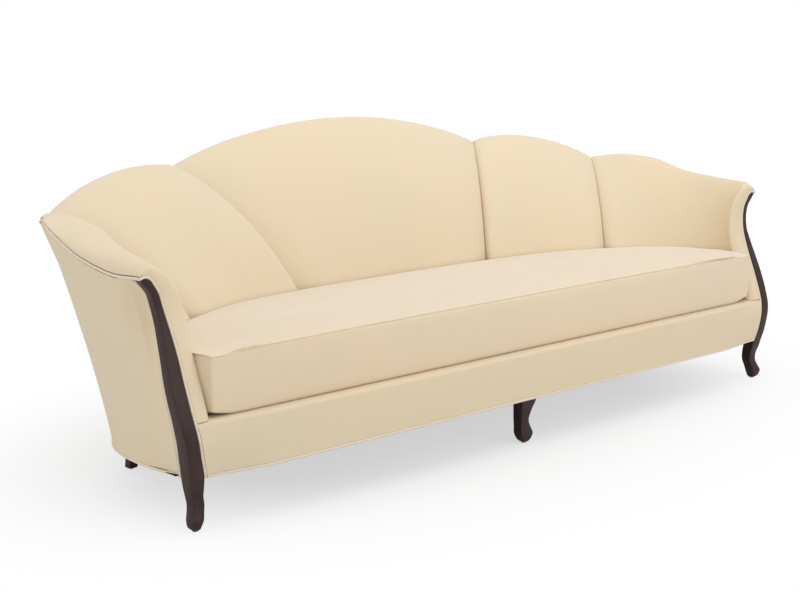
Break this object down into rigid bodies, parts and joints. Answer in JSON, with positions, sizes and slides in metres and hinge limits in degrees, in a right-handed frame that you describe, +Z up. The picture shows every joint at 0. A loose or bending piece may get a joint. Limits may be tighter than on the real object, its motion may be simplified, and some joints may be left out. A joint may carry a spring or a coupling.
{
  "type": "cabriole sofa",
  "caption": "Cabriole sofa with a petal-shaped padded back that runs into low rolled arms, S-shaped dark wooden front posts, and one long loose seat cushion.",
  "frame": {"origin": "on the floor, in the middle of the sofa's width and of its depth", "axes": "+X towards the right arm as seen from the front, +Y towards the back, +Z up"},
  "size_m": [2.6346, 1.0017, 0.953],
  "materials": {
    "dark_wood": "dark stain under a satin lacquer",
    "frame_wood": "planed, unfinished",
    "upholstery": "fine plain weave, matt",
    "piping": "cord covered in a plain cloth, matt",
    "ticking": "plain deck cloth, matt",
    "foam": "open cell foam, matt",
    "jute": "coarse woven band, matt",
    "black_cloth": "thin non-woven cloth, matt",
    "steel": "plain, dull"
  },
  "bodies": {
    "frame": {"front_post_left": "dark_wood", "front_post_right": "dark_wood", "centre_front_leg": "dark_wood", "rear_leg_left": "dark_wood", "rear_leg_right": "dark_wood", "centre_rear_leg": "dark_wood", "foot_glides": "steel", "leg_plates": "steel", "leg_bolts": "steel", "front_rail": "frame_wood", "rear_rail": "frame_wood", "corner_rail_left": "frame_wood", "corner_rail_right": "frame_wood", "side_rail_left": "frame_wood", "side_rail_right": "frame_wood", "leg_blocks": "frame_wood", "seat_brace_left": "frame_wood", "seat_brace_centre": "frame_wood", "seat_brace_right": "frame_wood", "corner_blocks": "frame_wood", "block_screws": "steel", "upright_centre": "frame_wood", "upright_inner_left": "frame_wood", "upright_inner_right": "frame_wood", "upright_outer_left": "frame_wood", "upright_outer_right": "frame_wood", "arm_stump_left": "frame_wood", "arm_stump_right": "frame_wood", "crest_rail_centre": "frame_wood", "crest_rail_left": "frame_wood", "crest_rail_right": "frame_wood", "arm_rail_left": "frame_wood", "arm_rail_right": "frame_wood", "tack_rail_centre": "frame_wood", "tack_rail_left": "frame_wood", "tack_rail_right": "frame_wood", "arm_tack_rail_left": "frame_wood", "arm_tack_rail_right": "frame_wood", "seat_springs": "steel", "spring_clips": "steel", "deck_pad": "ticking", "back_webbing": "jute", "arm_webbing_left": "jute", "arm_webbing_right": "jute", "back_pad_centre": "upholstery", "back_pad_left": "upholstery", "back_pad_right": "upholstery", "arm_pad_left": "upholstery", "arm_pad_right": "upholstery", "apron_pad": "upholstery", "outside_back": "upholstery", "outside_arm_left": "upholstery", "outside_arm_right": "upholstery", "hem_piping": "piping", "roll_piping": "piping", "post_piping_left": "piping", "post_piping_right": "piping", "dust_cover": "black_cloth"},
    "cushion": {"cushion_cover": "upholstery", "cushion_core": "foam"}
  },
  "joints": [
    {"name": "cushion_lift", "type": "slide", "parent": "frame", "child": "cushion", "axis": [0, 0, 1], "range_m": [0, 0.7]}
  ]
}
